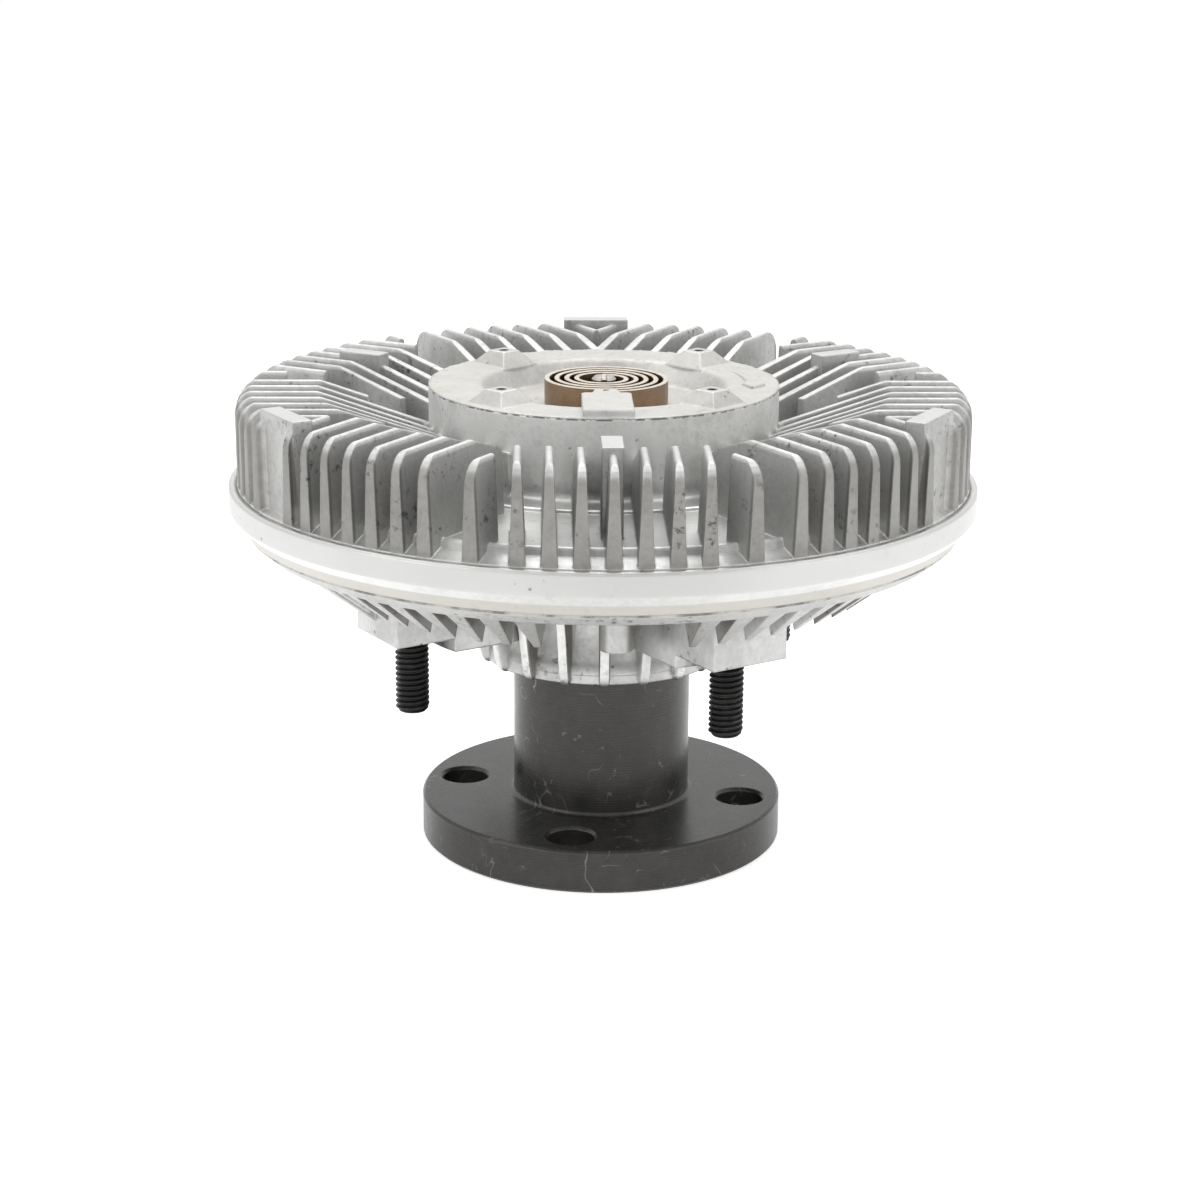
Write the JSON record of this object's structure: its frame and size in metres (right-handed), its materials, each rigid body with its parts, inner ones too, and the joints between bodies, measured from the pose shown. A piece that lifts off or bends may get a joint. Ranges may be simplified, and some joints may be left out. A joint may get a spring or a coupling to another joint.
{
  "type": "viscous fan clutch",
  "caption": "Viscous fan clutch: flanged drive shaft, finned alloy housing on a bearing, bimetal coil that opens the fluid valve, and threaded studs for a cooling fan.",
  "frame": {"origin": "centre of the flange's mounting face", "axes": "+Z along the shaft, from the flange towards the coil; -Y is the side the picture was taken from"},
  "size_m": [0.215, 0.215, 0.1396],
  "materials": {
    "dark_steel": "black oxide, worn",
    "cast_alloy": "die cast, machined rim",
    "bearing_steel": "ground",
    "spring_steel": "phosphated",
    "black_stud": "black oxide",
    "sheet_steel": "bright",
    "bronze": "satin",
    "bimetal": "rolled strip, bright edges",
    "black_rubber": "matt"
  },
  "bodies": {
    "drive": {"flange_shaft": "dark_steel", "rotor": "cast_alloy", "bearing_inner_ring": "bearing_steel"},
    "housing": {"rear_body": "cast_alloy", "fan_studs": "black_stud", "front_cover": "cast_alloy", "cover_seal": "black_rubber", "bearing_outer_ring": "bearing_steel", "bearing_seal_rear": "black_rubber", "bearing_seal_front": "black_rubber", "bearing_retaining_ring": "spring_steel", "partition_plate": "sheet_steel", "plate_screws": "sheet_steel", "wiper_block": "bronze", "valve_bush": "bronze", "bimetal_coil": "bimetal"},
    "ball_set": {"bearing_balls": "bearing_steel", "bearing_cage": "bronze"},
    "valve": {"valve_shaft": "sheet_steel", "valve_shaft_seal": "black_rubber", "valve_arm": "sheet_steel"}
  },
  "joints": [
    {"name": "housing_spin", "type": "hinge", "parent": "drive", "child": "housing", "pos_m": [0, 0, 0.07137], "axis": [0, 0, 1], "continuous": true},
    {"name": "ball_orbit", "type": "hinge", "parent": "drive", "child": "ball_set", "pos_m": [0, 0, 0.07137], "axis": [0, 0, 1], "continuous": true},
    {"name": "valve_turn", "type": "hinge", "parent": "housing", "child": "valve", "pos_m": [0, 0, 0.12], "axis": [0, 0, 1], "range_deg": [0, 35], "stiffness_Nm_per_rad": 0.05, "deforming": ["bimetal_coil"]}
  ],
  "couplings": [
    {"joint": "ball_orbit", "follows": "housing_spin", "ratio": 0.5934}
  ]
}
